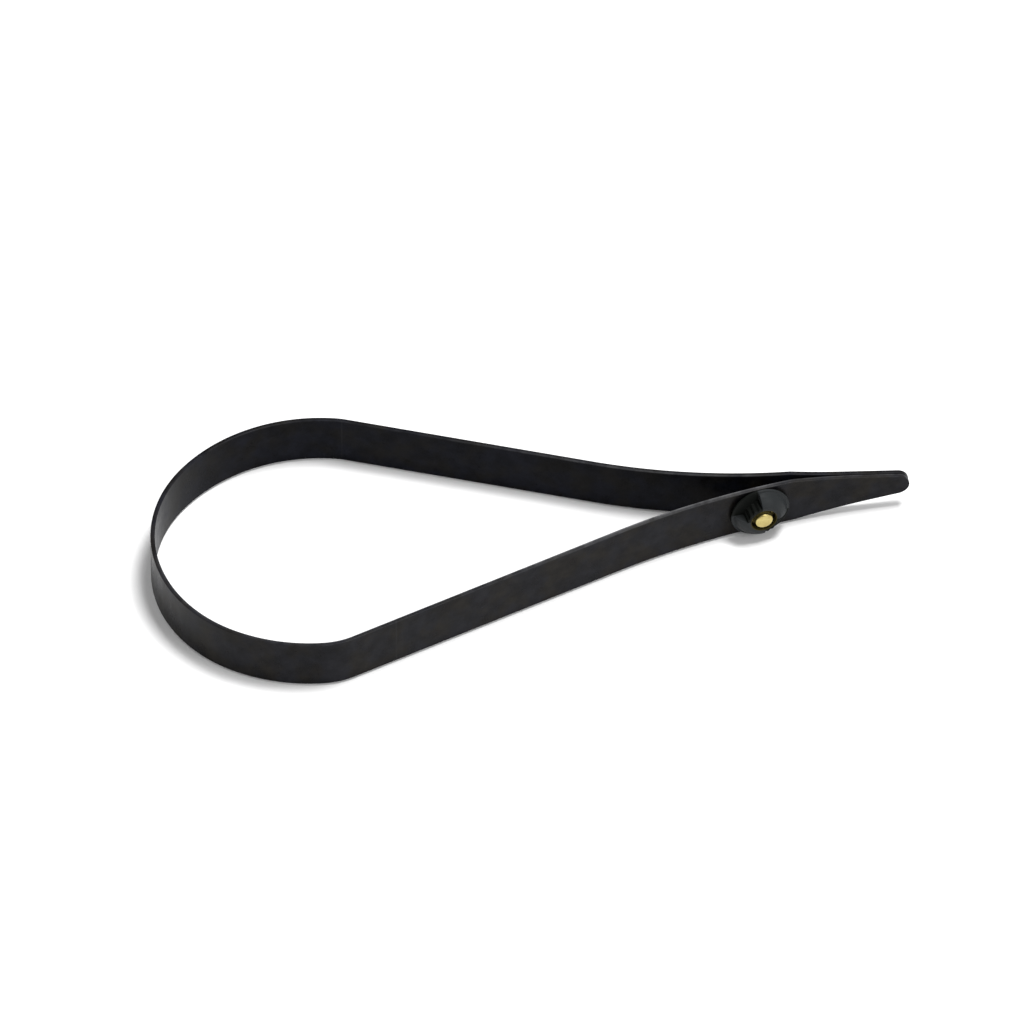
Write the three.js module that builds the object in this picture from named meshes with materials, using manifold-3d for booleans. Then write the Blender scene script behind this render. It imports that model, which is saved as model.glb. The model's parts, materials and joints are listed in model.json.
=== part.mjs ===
// Saxophone ligature: a thin black spring band that stands on its edge and is bent to a
// teardrop loop. A round hoop goes round the mouthpiece, two straight legs run in from it,
// and both ends lie together as a tapered tail. A brass screw crosses the legs in front of
// the tail, and a black two-lobed thumb nut on it draws the legs together.
//
// It is modelled in millimetres about the hoop's centre, at the height of the band's lower
// edge: +X runs along the tail, +Z is up, and the thumb nut is on the -Y side. At the end it
// is moved, so that the origin is under the middle of its bounding box.

import * as THREE from 'three';
import { mergeVertices } from 'three/addons/utils/BufferGeometryUtils.js';
import Module from 'manifold-3d';

const wasm = await Module();
wasm.setup();

// ---------------------------------------------------------------- driving dimensions

const radians = THREE.MathUtils.degToRad;

const BAND = { height: 6.2, thickness: 0.5 };

// The far end of the hoop is one arc. On each side it opens into a flatter shoulder arc.
const HOOP = { radius: 16.1, shoulderRadius: 19 };

// Each half of the band: its shoulder runs from one angle to the other, a tighter bend turns
// it into a straight leg at an angle to X, and a long closing arc turns the leg into the tail.
const REAR = {
  side: 1,
  shoulderFrom: radians(134),
  shoulderTo: radians(75.2),
  bendRadius: 7.3,
  legAngle: radians(22.5),
  closingRadius: 70,
};
const FRONT = {
  side: -1,
  shoulderFrom: radians(125),
  shoulderTo: radians(94.5),
  bendRadius: 8.25,
  legAngle: radians(18.85),
  closingRadius: 91.2,
};

// The tail's two layers run along X at either side of its midline, and taper in height.
const TAIL = { midline: -0.35, gap: 0.06, taperFrom: 55.1, taperSlope: 0.145, tip: 68.3 };

// The band flexes, so its solid is split where it bends most: at the hoop's far end, and
// in the front leg between the nut and the tail.
const SPLIT = { hoopGap: 0.05, tailX: 55.1, tailGap: 0.12 };

// Clamp parts. Heights are along the screw from the middle of the front leg's thickness.
// The front leg slides along the screw, so its hole is wider than the rear leg's.
const CLAMP = { x: 51.2, frontHoleRadius: 1.3, rearHoleRadius: 1.12 };
const SCREW = { radius: 1.0, end: 2.3, chamfer: 0.08 };
const HEAD = { radius: 1.9, seatRadius: 4.0, domeRadius: 3.2, rim: 0.2, seatGap: 0.04 };
const SLOT = { width: 0.5, depth: 0.45 };
const WASHER = { radius: 2.4, bore: 1.1, from: 0.34, to: 0.5 };
const NUT = {
  flangeRadius: 3.37,
  flangeFrom: 0.54,
  flangeTo: 0.82,
  flangeRound: 0.12,
  lobeRadius: 3.12,
  shoulderRadius: 2.72,
  shoulder: 1.6,
  topRadius: 1.97,
  top: 2.15,
  bore: 1.45,
};
const LOBES = { centre: radians(44), width: radians(102), hubRadius: 1.8, ribs: 4, ribHeight: 0.16 };
const BUSH = { radius: 1.42, bore: 1.06, from: 0.58, to: 1.3 };

const ARC_STEP = radians(3);
const ROUND_SEGMENTS = 48;
const TIP_SEGMENTS = 16;
const PROFILE_STEPS = 6;
const RIB_STEPS = 6;

// Cutting tools stand clear of what they cut: a little past a face, or past the whole part.
const CLEAR = 1;
const BEYOND = 200;
const HOLE_LENGTH = 12;

// ---------------------------------------------------------------- solids by manifold-3d

// A closed geometry as a manifold-3d solid.
function toSolid(geometry) {
  const bare = geometry.clone();
  bare.deleteAttribute('normal');
  bare.deleteAttribute('uv');
  const merged = mergeVertices(bare, 1e-4);
  return new wasm.Manifold(
    new wasm.Mesh({
      numProp: 3,
      vertProperties: merged.attributes.position.array,
      triVerts: new Uint32Array(merged.index.array),
    }),
  );
}

// A manifold-3d solid as a flat-shaded geometry.
function toGeometry(solid) {
  const mesh = solid.getMesh();
  const indexed = new THREE.BufferGeometry();
  indexed.setAttribute('position', new THREE.BufferAttribute(mesh.vertProperties, 3));
  indexed.setIndex(new THREE.BufferAttribute(mesh.triVerts, 1));
  const geometry = indexed.toNonIndexed();
  geometry.computeVertexNormals();
  return geometry;
}

// A box by its low and high corners.
function boxBetween(low, high) {
  const size = high.clone().sub(low);
  const middle = high.clone().add(low).multiplyScalar(0.5);
  return new THREE.BoxGeometry(size.x, size.y, size.z).translate(middle.x, middle.y, middle.z);
}

// A solid of revolution about Z, from a closed outline of [radius, height] points.
function turned(outline) {
  const points = outline.map(([radius, height]) => new THREE.Vector2(radius, height));
  return new THREE.LatheGeometry(points, ROUND_SEGMENTS).rotateX(Math.PI / 2);
}

// ---------------------------------------------------------------- the band's centreline

// Stations on an arc: each has a point on the centreline and the band's outward normal.
// The normal is the radius, or minus the radius on an arc that curves the other way.
function arcStations(centre, radius, from, to, outward = 1) {
  const steps = Math.max(1, Math.ceil(Math.abs(to - from) / ARC_STEP));
  return Array.from({ length: steps + 1 }, (_, i) => {
    const angle = from + ((to - from) * i) / steps;
    const ray = new THREE.Vector2(Math.cos(angle), Math.sin(angle));
    const normal = ray.clone().multiplyScalar(outward);
    return { point: centre.clone().addScaledVector(ray, radius), normal };
  });
}

// The point at a distance from a centre, on the ray at an angle.
function onRay(centre, angle, distance) {
  return new THREE.Vector2(Math.cos(angle), Math.sin(angle)).multiplyScalar(distance).add(centre);
}

// The point where two lines cross; each is all points p with p.normal = distance.
function crossing(normalA, distanceA, normalB, distanceB) {
  const scale = normalA.cross(normalB);
  return new THREE.Vector2(
    (distanceA * normalB.y - distanceB * normalA.y) / scale,
    (distanceB * normalA.x - distanceA * normalB.x) / scale,
  );
}

// The centreline of one half of the band, from the hoop's far end to the tail's tip. It is
// worked out on the +Y side, and the front half is then mirrored.
function halfCentreline(leg) {
  const legNormal = new THREE.Vector2(Math.sin(leg.legAngle), Math.cos(leg.legAngle));
  const tailNormal = new THREE.Vector2(0, 1);
  const tailOffset = leg.side * TAIL.midline + (BAND.thickness + TAIL.gap) / 2;

  // Each arc starts where the one before it ends, in the same direction, so its centre is on
  // the same ray.
  const origin = new THREE.Vector2(0, 0);
  const shoulderCentre = onRay(origin, leg.shoulderFrom, HOOP.radius - HOOP.shoulderRadius);
  const bendCentre = onRay(shoulderCentre, leg.shoulderTo, HOOP.shoulderRadius - leg.bendRadius);
  const legOffset = bendCentre.dot(legNormal) + leg.bendRadius;

  // The closing arc touches the leg's line and the tail's line from outside.
  const closingCentre = crossing(
    legNormal,
    legOffset + leg.closingRadius,
    tailNormal,
    tailOffset + leg.closingRadius,
  );

  const start = Math.PI - SPLIT.hoopGap / 2 / HOOP.radius;
  const legStart = legNormal.angle();
  const stations = [
    ...arcStations(origin, HOOP.radius, start, leg.shoulderFrom),
    ...arcStations(shoulderCentre, HOOP.shoulderRadius, leg.shoulderFrom, leg.shoulderTo).slice(1),
    ...arcStations(bendCentre, leg.bendRadius, leg.shoulderTo, legStart).slice(1),
    ...arcStations(
      closingCentre,
      leg.closingRadius,
      legStart - Math.PI,
      tailNormal.angle() - Math.PI,
      -1,
    ),
    { point: new THREE.Vector2(TAIL.tip + CLEAR, tailOffset), normal: tailNormal },
  ];
  for (const { point, normal } of stations) {
    point.y *= leg.side;
    normal.y *= leg.side;
  }
  return stations;
}

// Where the centreline of a half crosses a plane of constant X on its way to the tail.
function stationAtX(stations, x) {
  const after = stations.findIndex(({ point }, i) => i > stations.length / 2 && point.x >= x);
  const a = stations[after - 1];
  const b = stations[after];
  const share = (x - a.point.x) / (b.point.x - a.point.x);
  return {
    point: a.point.clone().lerp(b.point, share),
    normal: a.normal.clone().lerp(b.normal, share).normalize(),
  };
}

// ---------------------------------------------------------------- the band's solids

// The band's side view: full height, then a straight taper to a round tip.
function sideOutline() {
  const middle = BAND.height / 2;
  const taperAngle = Math.atan(TAIL.taperSlope);
  const heightAtTip = middle - (TAIL.tip - TAIL.taperFrom) * TAIL.taperSlope;
  const tipRadius =
    (heightAtTip * Math.cos(taperAngle)) / (1 - TAIL.taperSlope * Math.cos(taperAngle));
  const top = Math.PI / 2 - taperAngle;
  const back = -HOOP.radius - BAND.thickness;
  const outline = new THREE.Shape();
  outline.moveTo(back, 0);
  outline.lineTo(TAIL.taperFrom, 0);
  outline.absarc(TAIL.tip - tipRadius, middle, tipRadius, -top, top, false);
  outline.lineTo(TAIL.taperFrom, BAND.height);
  outline.lineTo(back, BAND.height);
  return outline;
}

// One half of the band: its plan, made as high as the band, and cut to the side view.
function halfBand(stations) {
  const half = BAND.thickness / 2;
  const outer = stations.map(({ point, normal }) => point.clone().addScaledVector(normal, half));
  const inner = stations.map(({ point, normal }) => point.clone().addScaledVector(normal, -half));
  const plan = new THREE.Shape([...outer, ...inner.reverse()]);
  const wall = new THREE.ExtrudeGeometry(plan, { depth: BAND.height, bevelEnabled: false });
  const width = 2 * (HOOP.shoulderRadius + BAND.thickness);
  const side = new THREE.ExtrudeGeometry(sideOutline(), {
    depth: width,
    bevelEnabled: false,
    curveSegments: TIP_SEGMENTS,
  });
  side.rotateX(Math.PI / 2).translate(0, width / 2, 0);
  return toSolid(wall).intersect(toSolid(side));
}

// Everything on one side of a plane of constant X, as a cutting block.
function blockBeyond(x, direction) {
  const far = x + direction * BEYOND;
  const low = new THREE.Vector3(Math.min(x, far), -BEYOND, -CLEAR);
  const high = new THREE.Vector3(Math.max(x, far), BEYOND, BAND.height + CLEAR);
  return toSolid(boxBetween(low, high));
}

// ---------------------------------------------------------------- the clamp's solids

// The nut's blank: a round flange, a dome that rises from it, and a bore for the bush.
function nutBlank() {
  const { flangeRadius, flangeFrom, flangeTo, flangeRound } = NUT;
  return turned([
    [NUT.bore, flangeFrom],
    [flangeRadius - flangeRound, flangeFrom],
    [flangeRadius, flangeFrom + flangeRound],
    [flangeRadius, flangeTo - flangeRound],
    [flangeRadius - flangeRound, flangeTo],
    [NUT.lobeRadius, flangeTo],
    [NUT.shoulderRadius, NUT.shoulder],
    [NUT.topRadius, NUT.top],
    [NUT.bore, NUT.top],
    [NUT.bore, flangeFrom],
  ]);
}

// The recess between two lobes: a sector outside the hub, whose inner edge leaves ribs.
function lobeRecess(centre) {
  const half = (Math.PI - LOBES.width) / 2;
  const reach = NUT.flangeRadius + CLEAR;
  const samples = LOBES.ribs * RIB_STEPS;
  const recess = new THREE.Shape();
  for (let i = 0; i <= samples; i += 1) {
    const angle = centre - half + (2 * half * i) / samples;
    const swell = Math.sin((Math.PI * LOBES.ribs * i) / samples) ** 2;
    const radius = LOBES.hubRadius + LOBES.ribHeight * swell;
    const [x, y] = [radius * Math.cos(angle), radius * Math.sin(angle)];
    if (i === 0) recess.moveTo(x, y);
    else recess.lineTo(x, y);
  }
  recess.absarc(0, 0, reach, centre + half, centre - half, true);
  const geometry = new THREE.ExtrudeGeometry(recess, { depth: NUT.top, bevelEnabled: false });
  return geometry.translate(0, 0, NUT.flangeTo);
}

function thumbNut() {
  const across = LOBES.centre + Math.PI / 2;
  return toSolid(nutBlank())
    .subtract(toSolid(lobeRecess(across)))
    .subtract(toSolid(lobeRecess(across + Math.PI)));
}

// A plain ring about the screw's line.
function ring(outer, bore, from, to) {
  return turned([
    [bore, from],
    [outer, from],
    [outer, to],
    [bore, to],
    [bore, from],
  ]);
}

// The screw, turned about Z: a chamfered end, a plain shank, and a head whose underside is
// part of a ball, so that it seats on a leg that isn't square to it. The ball's centre is at
// ballHeight. A straight slot crosses the head's dome.
function clampScrew(ballHeight) {
  const { seatRadius, domeRadius, radius: headRadius } = HEAD;
  const underside = (radius) => ballHeight + Math.sqrt(seatRadius ** 2 - radius ** 2);
  const rimTop = underside(headRadius);
  const rimBottom = rimTop - HEAD.rim;
  const domeCentre = rimBottom + Math.sqrt(domeRadius ** 2 - headRadius ** 2);
  const shares = Array.from({ length: PROFILE_STEPS + 1 }, (_, i) => i / PROFILE_STEPS);
  const seat = shares.map((share) => {
    const radius = headRadius + (SCREW.radius - headRadius) * share;
    return [radius, underside(radius)];
  });
  const dome = shares.map((share) => {
    const radius = headRadius * share;
    return [radius, domeCentre - Math.sqrt(domeRadius ** 2 - radius ** 2)];
  });
  const screw = turned([
    ...dome,
    ...seat,
    [SCREW.radius, SCREW.end - SCREW.chamfer],
    [SCREW.radius - SCREW.chamfer, SCREW.end],
    [0, SCREW.end],
  ]);
  const top = domeCentre - domeRadius;
  const slot = boxBetween(
    new THREE.Vector3(-headRadius - CLEAR, -SLOT.width / 2, top - CLEAR),
    new THREE.Vector3(headRadius + CLEAR, SLOT.width / 2, top + SLOT.depth),
  );
  return toSolid(screw).subtract(toSolid(slot));
}

// ---------------------------------------------------------------- materials

const blackBand = { color: 0x17181a, roughness: 0.45, metalness: 0.0 };
const blackNut = { color: 0x121413, roughness: 0.35, metalness: 0.0 };
const blackWasher = { color: 0x0c0c0d, roughness: 0.6, metalness: 0.0 };
const brass = { color: 0xcdbe64, roughness: 0.3, metalness: 1.0 };

function addMesh(group, name, geometry, look) {
  const mesh = new THREE.Mesh(geometry, new THREE.MeshStandardMaterial(look));
  mesh.name = name;
  group.add(mesh);
}

// ---------------------------------------------------------------- assembly

const rearLine = halfCentreline(REAR);
const frontLine = halfCentreline(FRONT);

// The screw's frame: its Z is square to the front leg at the clamp and points away from the
// rear leg, and its Y is up.
const seat = stationAtX(frontLine, CLAMP.x);
const screwAxis = new THREE.Vector3(seat.normal.x, seat.normal.y, 0);
const up = new THREE.Vector3(0, 0, 1);
const clampMatrix = new THREE.Matrix4()
  .makeBasis(up.clone().cross(screwAxis), up, screwAxis)
  .setPosition(seat.point.x, seat.point.y, BAND.height / 2);

// The head's ball touches the rear leg's outer face, less a small gap. The ball's centre is
// on the screw's line, so its height follows from the face's distance along that line.
const rearSeat = stationAtX(rearLine, CLAMP.x);
const rearNormal = new THREE.Vector3(rearSeat.normal.x, rearSeat.normal.y, 0);
const faceDistance = rearSeat.point
  .clone()
  .addScaledVector(rearSeat.normal, BAND.thickness / 2)
  .sub(seat.point)
  .dot(rearSeat.normal);
const tilt = -rearNormal.dot(screwAxis);
const ballHeight = -(faceDistance + HEAD.seatGap + HEAD.seatRadius) / tilt;

// A round hole on the screw's line, long enough to cut either leg.
function clampHole(radius) {
  const hole = new THREE.CylinderGeometry(radius, radius, HOLE_LENGTH, ROUND_SEGMENTS);
  return toSolid(hole.rotateX(Math.PI / 2).applyMatrix4(clampMatrix));
}

const frontBand = halfBand(frontLine).subtract(clampHole(CLAMP.frontHoleRadius));
const rearBand = halfBand(rearLine).subtract(clampHole(CLAMP.rearHoleRadius));

const ligature = new THREE.Group();
const legEnd = SPLIT.tailX - SPLIT.tailGap / 2;
const tailStart = SPLIT.tailX + SPLIT.tailGap / 2;
addMesh(ligature, 'band_rear', toGeometry(rearBand), blackBand);
addMesh(
  ligature,
  'band_front_leg',
  toGeometry(frontBand.subtract(blockBeyond(legEnd, 1))),
  blackBand,
);
addMesh(
  ligature,
  'band_front_tail',
  toGeometry(frontBand.subtract(blockBeyond(tailStart, -1))),
  blackBand,
);

const clamp = new THREE.Group();
clamp.applyMatrix4(clampMatrix);
addMesh(clamp, 'clamp_screw', toGeometry(clampScrew(ballHeight)), brass);
addMesh(clamp, 'nut_washer', ring(WASHER.radius, WASHER.bore, WASHER.from, WASHER.to), blackWasher);
addMesh(clamp, 'thumb_nut', toGeometry(thumbNut()), blackNut);
addMesh(clamp, 'nut_bush', ring(BUSH.radius, BUSH.bore, BUSH.from, BUSH.to), brass);
ligature.add(clamp);

const bounds = new THREE.Box3().setFromObject(ligature);
const middle = bounds.getCenter(new THREE.Vector3());
ligature.position.set(-middle.x, -middle.y, -bounds.min.z);

export default ligature;
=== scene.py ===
"""Looks of a saxophone ligature: a black spring band, a brass clamp screw and a black thumb nut.

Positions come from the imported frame, in metres. The band and the clamp parts are rebuilt here
with round edges, a cut thread and fine curves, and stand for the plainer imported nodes.
"""

import functools
import json
import math

import bmesh
import bpy
from mathutils import Matrix, Vector


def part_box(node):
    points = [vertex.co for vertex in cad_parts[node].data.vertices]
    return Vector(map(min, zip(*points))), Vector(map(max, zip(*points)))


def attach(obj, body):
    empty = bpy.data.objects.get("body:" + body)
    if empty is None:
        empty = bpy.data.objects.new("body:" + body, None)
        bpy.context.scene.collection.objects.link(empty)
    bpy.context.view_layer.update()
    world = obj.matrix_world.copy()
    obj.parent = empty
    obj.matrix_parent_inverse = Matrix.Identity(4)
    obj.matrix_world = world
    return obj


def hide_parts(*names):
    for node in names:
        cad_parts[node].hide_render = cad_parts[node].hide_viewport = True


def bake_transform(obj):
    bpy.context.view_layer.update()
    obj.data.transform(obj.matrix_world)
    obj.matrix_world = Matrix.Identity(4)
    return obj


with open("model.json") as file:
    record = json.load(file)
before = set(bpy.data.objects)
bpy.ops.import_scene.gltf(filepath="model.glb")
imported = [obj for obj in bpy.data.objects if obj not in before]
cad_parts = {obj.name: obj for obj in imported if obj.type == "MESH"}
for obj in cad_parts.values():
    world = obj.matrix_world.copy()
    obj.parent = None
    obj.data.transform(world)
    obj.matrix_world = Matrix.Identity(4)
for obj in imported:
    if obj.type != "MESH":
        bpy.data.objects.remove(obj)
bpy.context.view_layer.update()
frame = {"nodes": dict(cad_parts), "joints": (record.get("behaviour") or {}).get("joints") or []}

MM = 0.001

# ---------------------------------------------------------------- driving dimensions

BAND_HEIGHT = 6.2 * MM
BAND_THICKNESS = 0.5 * MM
CORNER = 0.08 * MM  # the strip's rounded corners
WORN_AND_LIT_DEPTH = 0.16 * MM  # how far edge wear and the painted highlight reach in from a corner

HOOP_RADIUS = 16.1 * MM
SHOULDER_RADIUS = 19 * MM
REAR = {
    "side": 1,
    "shoulder_from": math.radians(134),
    "shoulder_to": math.radians(75.2),
    "bend_radius": 7.3 * MM,
    "leg_angle": math.radians(22.5),
    "closing_radius": 70 * MM,
}
FRONT = {
    "side": -1,
    "shoulder_from": math.radians(125),
    "shoulder_to": math.radians(94.5),
    "bend_radius": 8.25 * MM,
    "leg_angle": math.radians(18.85),
    "closing_radius": 91.2 * MM,
}
TAIL_MIDLINE = -0.35 * MM
LAYER_GAP = 0.06 * MM
TAPER_FROM = 55.1 * MM
TAPER_SLOPE = 0.145
TIP = 68.3 * MM
SEAM = 53.4 * MM  # where the tail's own piece starts, hidden behind the thumb nut

# How far apart the strip's sections are, and how many go round the tip.
BEND_STEP = 0.25 * MM
LEG_STEP = 0.6 * MM
TIP_STEPS = 14
TIP_END = math.radians(86)
CORNER_STEPS = 4
THINNEST = 0.03 * MM

# Edge wear and a painted highlight, from 0 to 1: on a corner of the inner side they are full, and
# elsewhere this share of them.
OUTER_WEAR_AND_HIGHLIGHT = 0.25
EDGE_WEAR_AND_HIGHLIGHT = 0.45
REAR_WEAR_AND_HIGHLIGHT = 0.3
HOOP_WEAR_AND_HIGHLIGHT = 0.3
# Along X from the hoop's centre: edge wear and the painted highlight rise along the legs, and fall
# off past the clamp.
RUB_AND_HIGHLIGHT_FROM = 12 * MM
RUB_AND_HIGHLIGHT_TO = 38 * MM
RUB_AND_HIGHLIGHT_FADE = 50 * MM
RUB_AND_HIGHLIGHT_END = 56 * MM

# The clamp's own sizes are in millimetres, and its heights run along the screw from the
# middle of the front leg's thickness.
FRONT_HOLE_RADIUS = 1.3
REAR_HOLE_RADIUS = 1.12
SCREW_RADIUS = 1.0
SCREW_END = 2.3
END_ROUND_LENGTH = 0.16
END_ROUND_DEPTH = 0.22
THREAD_PITCH = 0.4
THREAD_DEPTH = 0.15
HEAD_RADIUS = 1.9
HEAD_SEAT_RADIUS = 4.0
HEAD_DOME_RADIUS = 3.2
HEAD_RIM = 0.2
HEAD_SOFT_EDGE = 0.04
BORE_SHADE_TO = 2.0  # painted shade darkens the shank up to here
THREAD_START = 0.5  # the thread rises to full depth over this length
THREAD_END = 0.6
LEG_PARTING = -0.8  # between the two legs
SLOT_WIDTH = 0.5
SLOT_DEPTH = 0.45

# ---------------------------------------------------------------- places from the frame

joints = {joint["name"]: joint for joint in frame["joints"]}
hoop_end = Vector(joints["leg_close"]["pos_m"])
clamp_place = Vector(joints["nut_spin"]["pos_m"])
clamp_axis = Vector(joints["nut_spin"]["axis"]).normalized()
band_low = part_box("band_rear")[0].z
hoop = Vector((hoop_end.x + HOOP_RADIUS, hoop_end.y))


def clamp_matrix():
    """The clamp's frame: local Z along the screw, away from the band, and local Y up."""
    up = Vector((0, 0, 1))
    rows = Matrix((up.cross(clamp_axis), up, clamp_axis)).transposed()
    return Matrix.Translation(clamp_place) @ rows.to_4x4()


# ---------------------------------------------------------------- the band's centreline


def on_ray(centre, angle, distance):
    return centre + Vector((math.cos(angle), math.sin(angle))) * distance


def arc(centre, radius, start, end, outward=1, step=BEND_STEP):
    """Stations on an arc: (point on the centreline, outward normal)."""
    count = max(2, math.ceil(abs(end - start) * radius / step))
    angles = [start + (end - start) * i / count for i in range(count + 1)]
    return [(on_ray(centre, a, radius), on_ray(Vector((0, 0)), a, outward)) for a in angles]


def straight(start, end, step):
    """Stations strictly between the ends of a straight stretch."""
    count = max(1, round((end[0] - start[0]).length / step))
    return [(start[0].lerp(end[0], i / count), start[1]) for i in range(1, count)]


def crossing(normal_a, distance_a, normal_b, distance_b):
    """Where two lines cross; each is all points p with p.normal = distance."""
    scale = normal_a.cross(normal_b)
    x = (distance_a * normal_b.y - distance_b * normal_a.y) / scale
    y = (distance_b * normal_a.x - distance_a * normal_b.x) / scale
    return Vector((x, y))


def tail_stations(from_x, y):
    """Stations on the straight tail, closer together round the tip."""
    normal = Vector((0, 1))
    radius, centre_x, tangent_x = tip_circle()
    count = max(2, round((tangent_x - from_x) / LEG_STEP))
    xs = [from_x + (tangent_x - from_x) * i / count for i in range(1, count + 1)]
    start = math.asin((tangent_x - centre_x) / radius)
    for i in range(1, TIP_STEPS + 1):
        angle = start + (TIP_END - start) * i / TIP_STEPS
        xs.append(centre_x + radius * math.sin(angle))
    return [(Vector((x, y)), normal) for x in xs]


def half_centreline(leg):
    """One half of the band, from the hoop's far end to the tip, about the hoop's centre."""
    leg_normal = Vector((math.sin(leg["leg_angle"]), math.cos(leg["leg_angle"])))
    tail_normal = Vector((0, 1))
    tail_y = leg["side"] * TAIL_MIDLINE + (BAND_THICKNESS + LAYER_GAP) / 2
    origin = Vector((0, 0))
    shoulder = on_ray(origin, leg["shoulder_from"], HOOP_RADIUS - SHOULDER_RADIUS)
    bend = on_ray(shoulder, leg["shoulder_to"], SHOULDER_RADIUS - leg["bend_radius"])
    leg_offset = bend.dot(leg_normal) + leg["bend_radius"]
    closing = crossing(
        leg_normal,
        leg_offset + leg["closing_radius"],
        tail_normal,
        tail_y + leg["closing_radius"],
    )
    leg_start = math.pi / 2 - leg["leg_angle"]
    stations = arc(origin, HOOP_RADIUS, math.pi, leg["shoulder_from"])
    stations += arc(shoulder, SHOULDER_RADIUS, leg["shoulder_from"], leg["shoulder_to"])[1:]
    stations += arc(bend, leg["bend_radius"], leg["shoulder_to"], leg_start)[1:]
    close = arc(
        closing,
        leg["closing_radius"],
        leg_start - math.pi,
        -math.pi / 2,
        outward=-1,
        step=LEG_STEP,
    )
    stations += straight(stations[-1], close[0], LEG_STEP)
    stations += close
    stations += tail_stations(close[-1][0].x, tail_y)
    side = leg["side"]
    return [(Vector((p.x, p.y * side)), Vector((n.x, n.y * side))) for p, n in stations]


# ---------------------------------------------------------------- the band's side view


def tip_circle():
    """The tip's radius, its centre's X, and the X where the taper runs into it."""
    angle = math.atan(TAPER_SLOPE)
    at_tip = BAND_HEIGHT / 2 - (TIP - TAPER_FROM) * TAPER_SLOPE
    radius = at_tip * math.cos(angle) / (1 - TAPER_SLOPE * math.cos(angle))
    centre_x = TIP - radius
    return radius, centre_x, centre_x + radius * math.sin(angle)


def half_height(x):
    """Half of the band's height: full, then a straight taper, then the round tip."""
    radius, centre_x, tangent_x = tip_circle()
    if x < TAPER_FROM:
        return BAND_HEIGHT / 2
    if x < tangent_x:
        return BAND_HEIGHT / 2 - (x - TAPER_FROM) * TAPER_SLOPE
    return math.sqrt(max(radius**2 - (x - centre_x) ** 2, THINNEST**2))


def strip_section(half_tall):
    """The strip's section as (across, up, wear and highlight) points, with round corners; edge wear
    and the painted highlight are strongest on the inner side.
    """
    half_thick = BAND_THICKNESS / 2
    corner = min(CORNER, half_tall * 0.6)
    quarter = []
    for i in range(CORNER_STEPS + 1):
        angle = math.pi / 2 * i / CORNER_STEPS
        across = half_thick - corner + corner * math.sin(angle)
        up = half_tall - corner + corner * math.cos(angle)
        quarter.append((across, up, 1.0))
    worn_and_lit = max(min(WORN_AND_LIT_DEPTH, half_tall * 0.45), corner * 1.5)
    quarter.append((half_thick, half_tall - worn_and_lit, 0.0))
    quarter.append((half_thick, half_tall * 0.35, 0.0))
    outer = [(a, u, w * OUTER_WEAR_AND_HIGHLIGHT) for a, u, w in quarter]
    outer += [(a, -u, w) for a, u, w in reversed(outer)]
    inner = [(-a, -u, w) for a, u, w in quarter]
    inner += [(a, -u, w) for a, u, w in reversed(inner)]
    return [(0.0, half_tall, EDGE_WEAR_AND_HIGHLIGHT)] + outer + [(0.0, -half_tall, EDGE_WEAR_AND_HIGHLIGHT)] + inner


def ease(x, start, end):
    """0 before start, 1 after end, and a smooth rise between them."""
    t = min(1.0, max(0.0, (x - start) / (end - start)))
    return t * t * (3 - 2 * t)


def rub_and_highlight(point):
    """How much edge wear and painted highlight the strip has along its length: most on the front
    leg, least on the hoop.
    """
    along = ease(point.x, RUB_AND_HIGHLIGHT_FROM, RUB_AND_HIGHLIGHT_TO) * (1 - ease(point.x, RUB_AND_HIGHLIGHT_FADE, RUB_AND_HIGHLIGHT_END))
    side = 1.0 if point.y < TAIL_MIDLINE else REAR_WEAR_AND_HIGHLIGHT
    return side * (HOOP_WEAR_AND_HIGHLIGHT + (1 - HOOP_WEAR_AND_HIGHLIGHT) * along)


# ---------------------------------------------------------------- mesh making


def mesh_object(name, verts, faces, attributes=None):
    """A mesh object with outward faces, and float point attributes."""
    mesh = bpy.data.meshes.new(name)
    mesh.from_pydata(verts, [], faces)
    for key, values in (attributes or {}).items():
        mesh.attributes.new(key, "FLOAT", "POINT").data.foreach_set("value", values)
    piece = bpy.data.objects.new(name, mesh)
    bpy.context.scene.collection.objects.link(piece)
    shell = bmesh.new()
    shell.from_mesh(mesh)
    bmesh.ops.recalc_face_normals(shell, faces=shell.faces)
    shell.to_mesh(mesh)
    shell.free()
    return piece


def band_piece(name, stations):
    """A stretch of the strip, swept along its stations, with closed ends."""
    verts, wear_and_highlight, inner, faces = [], [], [], []
    for point, normal in stations:
        section = strip_section(half_height(point.x))
        for across, up, worn_and_lit in section:
            place = hoop + point + normal * across
            verts.append((place.x, place.y, band_low + BAND_HEIGHT / 2 + up))
            wear_and_highlight.append(worn_and_lit * rub_and_highlight(point))
            inner.append(0.5 - across / BAND_THICKNESS)
    size = len(section)
    for i in range(len(stations) - 1):
        for j in range(size):
            k = (j + 1) % size
            faces.append((i * size + j, i * size + k, (i + 1) * size + k, (i + 1) * size + j))
    last = (len(stations) - 1) * size
    faces.append(tuple(range(size)))
    faces.append(tuple(last + j for j in range(size)))
    return mesh_object(name, verts, faces, {"wear_and_highlight": wear_and_highlight, "inner": inner})


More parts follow.
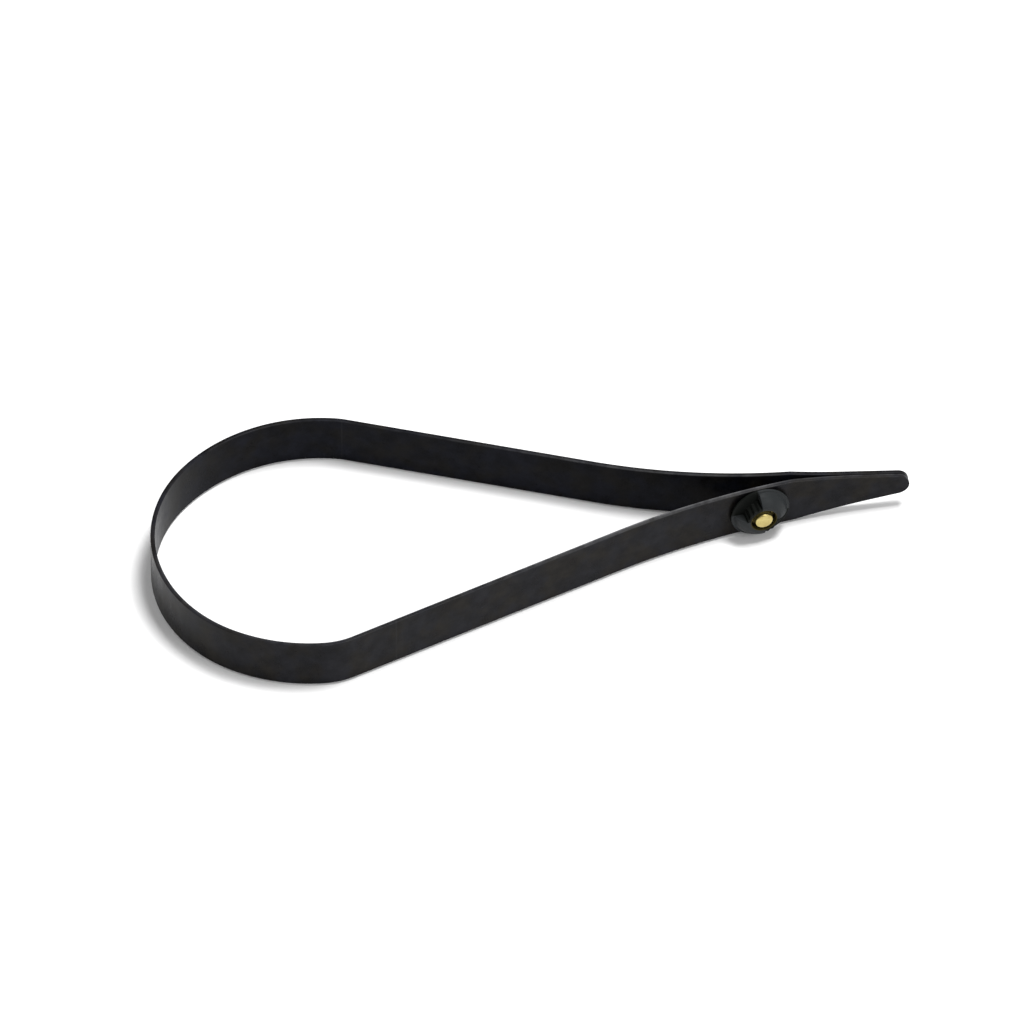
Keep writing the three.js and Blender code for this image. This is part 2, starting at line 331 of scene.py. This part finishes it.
def turned_piece(name, outline, segments=96, shape=None, paints=None):
    """A closed solid of revolution about the clamp's Z, from (radius, height) points in mm.

    shape(radius, height, angle) may move a point. A radius of 0 makes a single pole.
    paints gives attributes: each a name and a function of (radius, height, angle).
    """
    place = clamp_matrix()
    verts, rings, faces = [], [], []
    painted = {key: [] for key in paints or {}}
    for radius, height in outline:
        if radius == 0:
            rings.append([len(verts)] * segments)
            verts.append(place @ Vector((0, 0, height * MM)))
            for key, values in painted.items():
                values.append(paints[key](0.0, height, 0.0))
            continue
        ring = []
        for i in range(segments):
            angle = 2 * math.pi * i / segments
            r, h = shape(radius, height, angle) if shape else (radius, height)
            ring.append(len(verts))
            verts.append(place @ (Vector((r * math.cos(angle), r * math.sin(angle), h)) * MM))
            for key, values in painted.items():
                values.append(paints[key](radius, height, angle))
        rings.append(ring)
    is_ring = outline[0][0] > 0
    pairs = list(zip(rings, rings[1:])) + ([(rings[-1], rings[0])] if is_ring else [])
    for a, b in pairs:
        for i in range(segments):
            k = (i + 1) % segments
            face = list(dict.fromkeys((a[i], a[k], b[k], b[i])))
            if len(face) > 2:
                faces.append(face)
    return mesh_object(name, verts, faces, painted)


def smooth(piece, angle=40):
    """Smooth shading that keeps edges sharper than the angle."""
    for face in piece.data.polygons:
        face.use_smooth = True
    piece.data.set_sharp_from_angle(angle=math.radians(angle))
    return piece


def cut(piece, cutter):
    """Cuts one closed mesh out of another."""
    step = piece.modifiers.new("cut", "BOOLEAN")
    step.operation = "DIFFERENCE"
    step.solver = "EXACT"
    step.object = cutter
    depsgraph = bpy.context.evaluated_depsgraph_get()
    made = bpy.data.meshes.new_from_object(piece.evaluated_get(depsgraph))
    piece.modifiers.clear()
    old, piece.data = piece.data, made
    made.name = piece.name
    bpy.data.meshes.remove(old)
    bpy.data.objects.remove(cutter)
    return piece


def round_corner(corner, before, after, radius, steps=4):
    """Points that round off an outline's corner between its neighbours."""
    corner, before, after = Vector(corner), Vector(before), Vector(after)
    a = corner + (before - corner).normalized() * radius
    b = corner + (after - corner).normalized() * radius
    points = []
    for i in range(steps + 1):
        t = i / steps
        points.append(tuple(a * (1 - t) ** 2 + corner * 2 * t * (1 - t) + b * t**2))
    return points


def rounded(outline, radius):
    """An outline of (radius, height) points with every corner rounded."""
    points = []
    for i, corner in enumerate(outline):
        after = outline[(i + 1) % len(outline)]
        points += round_corner(corner, outline[i - 1], after, radius)
    return points


# ---------------------------------------------------------------- the clamp's pieces


def ring_piece(name, bore, radius, low, high, edge):
    """A plain ring about the screw, with rounded edges."""
    corners = [(bore, low), (radius, low), (radius, high), (bore, high)]
    return smooth(turned_piece(name, rounded(corners, edge)), 60)


LOBE_CENTRE = math.radians(44)
LOBE_HALF_WIDTH = math.radians(51)
LOBE_FLANK = math.radians(3.5)
LOBE_FOOT_RADIUS = 3.12
LOBE_SHOULDER_RADIUS = 2.72
LOBE_SHOULDER = 1.6
LOBE_TOP_RADIUS = 1.97
NUT_BORE = 1.45
BARE_RIM_IN_SHADE = 0.06
NUT_LOW = 0.54
NUT_TOP = 2.15
FLANGE_RADIUS = 3.37
FLANGE_TOP = 0.82
HUB_RADIUS = 1.8
RIB_COUNT = 4
RIB_HEIGHT = 0.16
NUT_FILLET = 0.1
SHOULDER_FILLET = 0.45
SHOULDER_STEPS = 8
NUT_SEGMENTS = 720


def lobe_share(angle):
    """1 on a lobe, 0 in a recess, with a steep smooth flank between them."""
    from_lobe = abs((angle - LOBE_CENTRE + math.pi / 2) % math.pi - math.pi / 2)
    return 1 - ease(from_lobe, LOBE_HALF_WIDTH - LOBE_FLANK / 2, LOBE_HALF_WIDTH + LOBE_FLANK / 2)


def rib_swell(angle):
    """The ribs on the hub's wall in a recess, from 0 to 1."""
    from_recess = (angle - LOBE_CENTRE) % math.pi - math.pi / 2
    half = math.pi / 2 - LOBE_HALF_WIDTH
    if abs(from_recess) > half:
        return 0.0
    return math.sin(math.pi * RIB_COUNT * (from_recess + half) / (2 * half)) ** 2


def nut_section(share, rib):
    """The nut's outline at one angle, from a recess (share 0) to a domed lobe (share 1)."""
    wall = HUB_RADIUS + RIB_HEIGHT * rib
    on_lobe = (
        (LOBE_FOOT_RADIUS, FLANGE_TOP),
        (LOBE_SHOULDER_RADIUS, LOBE_SHOULDER),
        (LOBE_TOP_RADIUS, NUT_TOP),
    )
    foot, shoulder, crown = [(wall + (r - wall) * share, height) for r, height in on_lobe]
    back = (NUT_BORE, NUT_LOW)
    rim = (FLANGE_RADIUS, FLANGE_TOP)
    mouth = (NUT_BORE, NUT_TOP)
    outline = rounded([back, (FLANGE_RADIUS, NUT_LOW), rim], NUT_FILLET)
    outline += round_corner(foot, rim, shoulder, NUT_FILLET)
    outline += round_corner(shoulder, foot, crown, SHOULDER_FILLET, SHOULDER_STEPS)
    outline += round_corner(crown, shoulder, mouth, NUT_FILLET)
    outline += round_corner(mouth, crown, back, NUT_FILLET)
    return outline


def nut_piece():
    """The thumb nut: one outline, blended round the axis between lobe and recess."""
    lobe = nut_section(1.0, 0.0)
    places = {point: i for i, point in enumerate(lobe)}

    @functools.cache
    def section(angle):
        return nut_section(lobe_share(angle), rib_swell(angle))

    def shape(radius, height, angle):
        return section(angle)[places[radius, height]]

    paints = {
        "lobe": lambda radius, height, angle: lobe_share(angle),
        # Bare brass at the bore's rim, painted dark as shade.
        "bare_in_shade": lambda radius, height, angle: 1.0 if radius < NUT_BORE + BARE_RIM_IN_SHADE else 0.0,
    }
    return smooth(turned_piece("thumb_nut_body", lobe, NUT_SEGMENTS, shape, paints), 50)


def ball_height(centre, radius, at, side):
    """The height of a ball's surface over a radius, on its upper (1) or lower (-1) side."""
    return centre + side * math.sqrt(radius**2 - at**2)


def screw_piece():
    """The clamp screw: a threaded shank with a rounded end, and an oval head with a slot."""
    top = screw_head_top()
    dome_centre = top + HEAD_DOME_RADIUS
    rim_low = ball_height(dome_centre, HEAD_DOME_RADIUS, HEAD_RADIUS, -1)
    seat_centre = rim_low + HEAD_RIM - math.sqrt(HEAD_SEAT_RADIUS**2 - HEAD_RADIUS**2)
    soft = HEAD_SOFT_EDGE
    outline = [(0.0, top)]
    for i in range(1, 17):
        radius = (HEAD_RADIUS - soft) * i / 16
        outline.append((radius, ball_height(dome_centre, HEAD_DOME_RADIUS, radius, -1)))
    outline += [(HEAD_RADIUS, rim_low + soft), (HEAD_RADIUS, rim_low + HEAD_RIM - soft)]
    for i in range(9):
        radius = HEAD_RADIUS - soft - (HEAD_RADIUS - SCREW_RADIUS - 2 * soft) * i / 8
        outline.append((radius, ball_height(seat_centre, HEAD_SEAT_RADIUS, radius, 1)))
    shank_low = ball_height(seat_centre, HEAD_SEAT_RADIUS, SCREW_RADIUS, 1) + soft
    shank_high = SCREW_END - END_ROUND_LENGTH
    rows = 160
    for i in range(rows + 1):
        outline.append((SCREW_RADIUS, shank_low + (shank_high - shank_low) * i / rows))
    for i in range(1, 6):
        angle = math.pi / 2 * i / 5
        radius = SCREW_RADIUS - END_ROUND_DEPTH * (1 - math.cos(angle))
        outline.append((radius, SCREW_END - END_ROUND_LENGTH * (1 - math.sin(angle))))
    outline.append((0.0, SCREW_END))

    def shape(radius, height, angle):
        """Cuts the thread: it fades in near the head, and out before the plain end."""
        if radius != SCREW_RADIUS:
            return radius, height
        phase = (height / THREAD_PITCH - angle / (2 * math.pi)) % 1
        groove = 1 - min(1.0, 1.35 * abs(2 * phase - 1))
        fade_in = (height - shank_low) / THREAD_START
        fade_out = max(0.0, (shank_high - height) / THREAD_END - 0.5)
        return radius - THREAD_DEPTH * groove * min(1.0, fade_in, fade_out), height

    def bore_shade(radius, height, angle):
        """Painted shade darkens the shank up to near its end, which lies shaded in the nut's bore,
        but not the head or the end.
        """
        return 1.0 if radius == SCREW_RADIUS and height < BORE_SHADE_TO else 0.0

    screw = turned_piece("screw", outline, 96, shape, {"bore_shade": bore_shade})
    reach = HEAD_RADIUS + 0.5
    slot = box_piece(
        "slot_cutter",
        Vector((-reach, -SLOT_WIDTH / 2, top - 0.5)) * MM,
        Vector((reach, SLOT_WIDTH / 2, top + SLOT_DEPTH)) * MM,
        clamp_matrix(),
    )
    return smooth(cut(screw, slot), 35)


def screw_head_top():
    """How far along the clamp's Z the head's top is, in mm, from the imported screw's points."""
    turn = clamp_matrix().inverted()
    return min((turn @ v.co).z for v in frame["nodes"]["clamp_screw"].data.vertices) / MM


def box_piece(name, low, high, place):
    corners = [(x, y, z) for x in (low.x, high.x) for y in (low.y, high.y) for z in (low.z, high.z)]
    verts = [place @ Vector(c) for c in corners]
    faces = [(0, 1, 3, 2), (4, 6, 7, 5), (0, 4, 5, 1), (2, 3, 7, 6), (0, 2, 6, 4), (1, 5, 7, 3)]
    return mesh_object(name, verts, faces)


def hole_cutter(radius, low, high):
    outline = [(0.0, low), (radius, low), (radius, high), (0.0, high)]
    return turned_piece("hole_cutter", outline, 64)


# ---------------------------------------------------------------- materials


# Edge wear and painted highlight: the strip's corners are mixed toward this light steel grey.
EDGE_STEEL_AND_HIGHLIGHT = (0.125, 0.125, 0.13)
# Painted shade: the strip's inner side is tinted darker and bluish.
INNER_PAINTED_SHADE = (0.64, 0.69, 0.86)
BAND_SHINE = 0.07
INNER_SHINE = 0.035
# Bare brass at the nut's bore rim, painted dark olive as shade.
BARE_BORE_IN_SHADE = (0.040, 0.033, 0.009)
BEND_LINE_WIDTH = 0.16 * MM
# Along X from the hoop's centre, and the side: -1 for the front half, 1 for the rear half.
BEND_LINES = [(8.5 * MM, -1), (9.2 * MM, -1), (7.4 * MM, 1)]


class Nodes:
    """A material's node tree, with short calls to add and join nodes."""

    def __init__(self, name):
        self.material = bpy.data.materials.new(name)
        self.material.use_nodes = True
        self.tree = self.material.node_tree
        self.surface = self.tree.nodes["Principled BSDF"]

    def add(self, kind, **inputs):
        node = self.tree.nodes.new(kind)
        for key, value in inputs.items():
            node.inputs[key.replace("_", " ")].default_value = value
        return node

    def join(self, output, target):
        self.tree.links.new(output, target)

    def noise(self, scale, detail=4.0, roughness=0.55, seed=0, stretch=(1, 1, 1)):
        place = self.add("ShaderNodeMapping", Location=(seed, seed, seed), Scale=stretch)
        self.join(self.coordinates(), place.inputs["Vector"])
        node = self.add("ShaderNodeTexNoise", Scale=scale, Detail=detail, Roughness=roughness)
        self.join(place.outputs["Vector"], node.inputs["Vector"])
        return node.outputs["Fac"]

    def object_axes(self):
        node = self.tree.nodes.new("ShaderNodeSeparateXYZ")
        self.join(self.coordinates(), node.inputs[0])
        return node.outputs

    def coordinates(self):
        if not hasattr(self, "object_coordinates"):
            self.object_coordinates = self.add("ShaderNodeTexCoord").outputs["Object"]
        return self.object_coordinates

    def ramp(self, value, stops):
        """A colour ramp; stops are (position, grey or colour)."""
        node = self.add("ShaderNodeValToRGB")
        self.join(value, node.inputs["Fac"])
        while len(node.color_ramp.elements) < len(stops):
            node.color_ramp.elements.new(0.5)
        for element, (position, colour) in zip(node.color_ramp.elements, stops):
            element.position = position
            grey = isinstance(colour, (int, float))
            element.color = (colour, colour, colour, 1) if grey else (*colour, 1)
        return node.outputs["Color"]

    def mix(self, share, a, b):
        """Mixes two colours, each a tuple or a socket, by a number or a socket."""
        node = self.tree.nodes.new("ShaderNodeMix")
        node.data_type = "RGBA"
        for value, target in ((share, node.inputs[0]), (a, node.inputs[6]), (b, node.inputs[7])):
            if isinstance(value, bpy.types.NodeSocket):
                self.join(value, target)
            elif isinstance(value, tuple):
                target.default_value = (*value, 1)
            else:
                target.default_value = value
        return node.outputs[2]

    def multiply(self, share, a, b):
        """Multiplies two colours, as far as the share says."""
        colour = self.mix(share, a, b)
        colour.node.blend_type = "MULTIPLY"
        return colour

    def math(self, operation, a, b):
        node = self.tree.nodes.new("ShaderNodeMath")
        node.operation = operation
        for value, target in ((a, node.inputs[0]), (b, node.inputs[1])):
            if isinstance(value, bpy.types.NodeSocket):
                self.join(value, target)
            else:
                target.default_value = value
        return node.outputs[0]

    def attribute(self, name):
        node = self.tree.nodes.new("ShaderNodeAttribute")
        node.attribute_name = name
        return node.outputs["Fac"]

    def bump(self, height, strength, distance, after=None):
        node = self.add("ShaderNodeBump", Strength=strength, Distance=distance)
        self.join(height, node.inputs["Height"])
        if after is not None:
            self.join(after, node.inputs["Normal"])
        return node.outputs["Normal"]


def bend_lines(m):
    """Thin lighter upright lines on the strip near its bends, as a 0 to 1 socket."""
    across, along, _ = m.object_axes()
    total = 0.0
    for offset, side in BEND_LINES:
        distance = m.math("ABSOLUTE", m.math("SUBTRACT", across, hoop.x + offset), 0.0)
        line = m.math("LESS_THAN", distance, BEND_LINE_WIDTH / 2)
        outward = m.math("MULTIPLY", m.math("SUBTRACT", along, hoop.y), side)
        here = m.math("GREATER_THAN", outward, 0.0)
        total = m.math("ADD", total, m.math("MULTIPLY", line, here))
    return total


def band_material():
    """Black satin finish on spring steel: mottled and finely grained, with edge wear and a painted
    highlight along its edges, and painted shade on the inner side.
    """
    m = Nodes("black_band")
    blotches = m.noise(560, 4)
    tints = m.noise(330, 3, seed=3)
    upright = m.noise(900, 3, seed=5, stretch=(1, 1, 0.12))
    grain = m.noise(5200, 3)
    light = m.ramp(blotches, [(0.35, 0), (0.65, 1)])
    bluish = m.mix(light, (0.0032, 0.0033, 0.0048), (0.0098, 0.0099, 0.0128))
    brownish = m.mix(light, (0.0042, 0.0034, 0.0029), (0.0115, 0.0098, 0.0080))
    base = m.mix(m.ramp(tints, [(0.42, 0), (0.62, 1)]), bluish, brownish)
    inner = m.attribute("inner")
    # Painted shade: the inner side gets a darker, bluish tint.
    base = m.multiply(inner, base, INNER_PAINTED_SHADE)
    marks = m.math("MULTIPLY", bend_lines(m), m.ramp(upright, [(0.4, 0), (0.6, 0.6)]))
    base = m.mix(marks, base, (0.016, 0.016, 0.017))
    # Edge wear and a painted highlight lighten the strip's corners toward steel grey.
    patchy = m.ramp(m.noise(900, 4), [(0.35, 0.45), (0.6, 1.0)])
    worn_and_lit = m.math("MULTIPLY", m.attribute("wear_and_highlight"), patchy)
    m.join(m.mix(worn_and_lit, base, EDGE_STEEL_AND_HIGHLIGHT), m.surface.inputs["Base Color"])
    streaked = m.math("ADD", m.math("MULTIPLY", blotches, 0.6), m.math("MULTIPLY", upright, 0.4))
    m.join(m.ramp(streaked, [(0.35, 0.25), (0.65, 0.37)]), m.surface.inputs["Roughness"])
    shine = m.ramp(inner, [(0.0, BAND_SHINE), (1.0, INNER_SHINE)])
    m.join(shine, m.surface.inputs["Specular IOR Level"])
    m.join(
        m.bump(grain, 0.3, 0.00003, m.bump(upright, 0.05, 0.00006, m.bump(blotches, 0.1, 0.0001))),
        m.surface.inputs["Normal"],
    )
    return m.material


def nut_material():
    """The nut's black: a faint green cast, with painted light and shade, a lighter and shinier
    black on the lobes and a darker one in the recesses, and a dark bare rim at the bore.
    """
    m = Nodes("black_nut")
    blotches = m.noise(700, 4)
    lobe = m.attribute("lobe")
    # Painted light and shade: the lobes get a lighter black, the recesses a darker one.
    lit_lobe_black = m.mix(blotches, (0.014, 0.0155, 0.0165), (0.026, 0.0285, 0.030))
    shaded_recess_black = m.mix(blotches, (0.0035, 0.0042, 0.0036), (0.008, 0.0088, 0.008))
    black = m.mix(lobe, shaded_recess_black, lit_lobe_black)
    # Bare brass at the bore's rim, painted dark olive as shade.
    m.join(m.mix(m.attribute("bare_in_shade"), black, BARE_BORE_IN_SHADE), m.surface.inputs["Base Color"])
    m.join(m.ramp(blotches, [(0.3, 0.3), (0.7, 0.42)]), m.surface.inputs["Roughness"])
    m.join(m.ramp(lobe, [(0.0, 0.04), (1.0, 0.07)]), m.surface.inputs["Specular IOR Level"])
    m.join(m.bump(m.noise(4200, 3), 0.3, 0.00003), m.surface.inputs["Normal"])
    return m.material


def washer_material():
    m = Nodes("black_washer")
    speckle = m.noise(2500, 3)
    black = m.mix(speckle, (0.004, 0.004, 0.004), (0.01, 0.01, 0.01))
    m.join(black, m.surface.inputs["Base Color"])
    m.surface.inputs["Roughness"].default_value = 0.6
    m.surface.inputs["Specular IOR Level"].default_value = 0.15
    m.join(m.bump(speckle, 0.3, 0.00003), m.surface.inputs["Normal"])
    return m.material


def brass_material():
    """Turned brass: fine cutting marks, duller patches, and painted shade, dull and olive, on the
    shank that lies shaded in the nut's bore.
    """
    m = Nodes("brass")
    tarnish = m.noise(1500, 4)
    bright = m.mix(m.ramp(tarnish, [(0.35, 0), (0.75, 1)]), (0.50, 0.42, 0.17), (0.37, 0.29, 0.10))
    # Painted shade: the shank is made a dull dark olive where it lies shaded in the nut's bore.
    bore_shade = m.attribute("bore_shade")
    m.join(m.mix(bore_shade, bright, (0.20, 0.165, 0.05)), m.surface.inputs["Base Color"])
    m.join(m.ramp(bore_shade, [(0.0, 1.0), (1.0, 0.2)]), m.surface.inputs["Metallic"])
    m.join(m.ramp(tarnish, [(0.3, 0.24), (0.7, 0.4)]), m.surface.inputs["Roughness"])
    m.join(m.bump(m.noise(6000, 2), 0.25, 0.00002), m.surface.inputs["Normal"])
    return m.material


def bush_material():
    """Painted shade: the bush's brass, deep in the nut's bore, is brown, dull and even."""
    m = Nodes("dull_brass_in_shade")
    tarnish = m.noise(1800, 3)
    # Painted shade: a dark brown brass for the bush in the bore.
    m.join(m.mix(tarnish, (0.10, 0.08, 0.028), (0.15, 0.12, 0.045)), m.surface.inputs["Base Color"])
    m.surface.inputs["Metallic"].default_value = 1.0
    m.surface.inputs["Roughness"].default_value = 0.45
    m.join(m.bump(m.noise(6000, 2), 0.2, 0.00002), m.surface.inputs["Normal"])
    return m.material


# ---------------------------------------------------------------- the object


def until(stations, x):
    """The stations up to a plane of constant X on the way to the tail, ending on it."""
    turn = next(i for i, (p, _) in enumerate(stations) if i > len(stations) / 3 and p.x >= x)
    a, b = stations[turn - 1], stations[turn]
    share = (x - a[0].x) / (b[0].x - a[0].x)
    seam = (a[0].lerp(b[0], share), a[1].lerp(b[1], share).normalized())
    return stations[:turn] + [seam], [seam] + stations[turn:]


rear_stations = half_centreline(REAR)
front_stations, tail_part = until(half_centreline(FRONT), SEAM)

loop = band_piece("band_loop", rear_stations[::-1] + front_stations[1:])
tail = band_piece("band_tail", tail_part)
loop = cut(loop, hole_cutter(FRONT_HOLE_RADIUS, LEG_PARTING, 2))
loop = cut(loop, hole_cutter(REAR_HOLE_RADIUS, -4, LEG_PARTING))
screw = screw_piece()
washer = ring_piece("washer", bore=1.1, radius=2.4, low=0.34, high=0.5, edge=0.04)
nut = nut_piece()
bush = ring_piece("bush", bore=1.06, radius=1.42, low=0.58, high=1.3, edge=0.06)

black_band = band_material()
for piece in (loop, tail):
    smooth(piece, 50)
    piece.data.materials.clear()
    piece.data.materials.append(black_band)
for piece, material, name in (
    (screw, brass_material(), "screw"),
    (bush, bush_material(), "screw"),
    (washer, washer_material(), "washer"),
    (nut, nut_material(), "nut"),
):
    piece.data.materials.clear()
    piece.data.materials.append(material)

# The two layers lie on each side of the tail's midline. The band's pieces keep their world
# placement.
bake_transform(loop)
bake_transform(tail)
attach(screw, "rear_half")
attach(washer, "nut_carrier")
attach(nut, "nut")
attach(bush, "nut")
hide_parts("band_rear", "band_front_leg")
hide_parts("band_front_tail")
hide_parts("clamp_screw")
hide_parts("nut_washer")
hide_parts("thumb_nut")
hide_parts("nut_bush")

# ---------------------------------------------------------------- floor, light and camera

FLOOR_HALF = 1.5
WORLD_STRENGTH = 0.5
CAMERA_AZIMUTH = math.radians(-9.5)
CAMERA_ELEVATION = math.radians(47.6)
CAMERA_DISTANCE = 3.0
VIEW_WIDTH = 113.1 * MM
# Where the camera looks: this far right of the hoop's centre, and above it, in the picture.
AIM_RIGHT = 23.54 * MM
AIM_UP = 6.65 * MM


def add_floor():
    floor = mesh_object(
        "floor",
        [(x * FLOOR_HALF, y * FLOOR_HALF, 0) for x, y in ((-1, -1), (1, -1), (1, 1), (-1, 1))],
        [(0, 1, 2, 3)],
    )
    m = Nodes("white_floor")
    m.surface.inputs["Base Color"].default_value = (0.92, 0.92, 0.92, 1)
    m.surface.inputs["Roughness"].default_value = 0.9
    m.surface.inputs["Specular IOR Level"].default_value = 0.1
    floor.data.materials.append(m.material)


def add_world():
    world = bpy.data.worlds.new("studio")
    world.use_nodes = True
    world.node_tree.nodes["Background"].inputs["Color"].default_value = (1, 1, 1, 1)
    world.node_tree.nodes["Background"].inputs["Strength"].default_value = WORLD_STRENGTH
    bpy.context.scene.world = world


def add_light(name, place, size, watts):
    light = bpy.data.lights.new(name, "AREA")
    light.size = size
    light.energy = watts
    lamp = bpy.data.objects.new(name, light)
    lamp.location = place
    lamp.rotation_euler = (Vector((0, 0, 0)) - Vector(place)).to_track_quat("-Z", "Y").to_euler()
    bpy.context.scene.collection.objects.link(lamp)


def add_camera():
    """A long lens, aimed to the right of the hoop's centre."""
    azimuth, elevation = CAMERA_AZIMUTH, CAMERA_ELEVATION
    back = Vector(
        (
            math.sin(azimuth) * math.cos(elevation),
            -math.cos(azimuth) * math.cos(elevation),
            math.sin(elevation),
        )
    )
    right = Vector((math.cos(azimuth), math.sin(azimuth), 0))
    up = back.cross(right)
    target = Vector((hoop.x, hoop.y, band_low)) + right * AIM_RIGHT + up * AIM_UP
    lens = bpy.data.cameras.new("camera")
    lens.sensor_width = 36
    lens.lens = lens.sensor_width * CAMERA_DISTANCE / VIEW_WIDTH
    lens.clip_start = 0.1
    lens.clip_end = 20
    camera = bpy.data.objects.new("camera", lens)
    camera.location = target + back * CAMERA_DISTANCE
    camera.rotation_euler = (-back).to_track_quat("-Z", "Y").to_euler()
    bpy.context.scene.collection.objects.link(camera)
    bpy.context.scene.camera = camera


add_floor()
add_world()
add_light("overhead", (0.35, 0.1, 1.35), 0.45, 20)
add_light("right", (0.8, -0.8, 0.75), 0.6, 5)
add_camera()
bpy.context.scene.view_settings.view_transform = "Standard"
